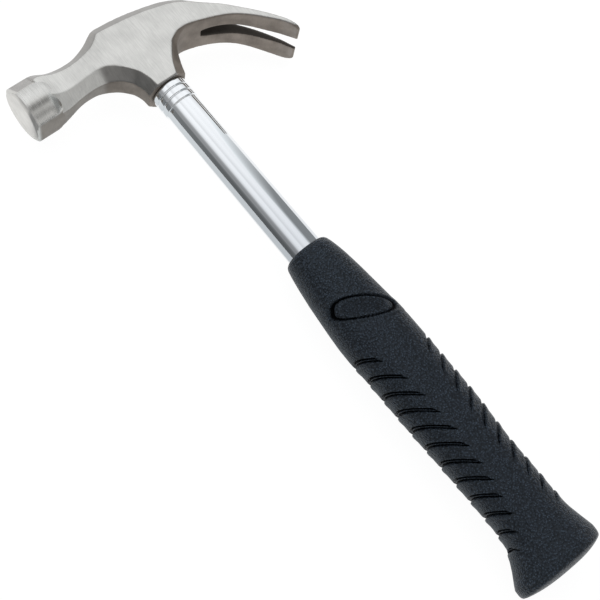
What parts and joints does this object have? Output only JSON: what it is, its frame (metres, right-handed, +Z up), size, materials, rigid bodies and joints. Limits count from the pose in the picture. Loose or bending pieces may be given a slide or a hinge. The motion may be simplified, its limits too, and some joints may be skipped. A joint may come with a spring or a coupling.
{
  "type": "claw hammer",
  "caption": "Claw hammer: forged head with round striking face and curved split claw, chromed tubular shaft, ribbed rubber grip.",
  "frame": {"origin": "middle of the underside of the hammer's bounding box, with the hammer lying on its side", "axes": "+X along the handle from the butt to the head, +Y towards the striking face, +Z up through the upper cheek"},
  "size_m": [0.316, 0.126, 0.0312],
  "materials": {
    "forged_steel": "forged and ground satin, with the forging's brown-grey skin under the claw and neck",
    "chrome_plate": "bright mirror chrome",
    "dark_sealant": "black sealing bead",
    "plain_steel": "plain pressed-in steel",
    "hardwood": "plain dowel",
    "black_rubber": "moulded, pebbled skin with smooth ribs",
    "grey_plastic": "moulded"
  },
  "bodies": {
    "root": {"head": "forged_steel", "shaft_tube": "chrome_plate", "joint_seal": "dark_sealant", "eye_plug": "plain_steel", "tube_core": "hardwood", "grip": "black_rubber", "tube_end_plug": "grey_plastic"}
  },
  "joints": []
}
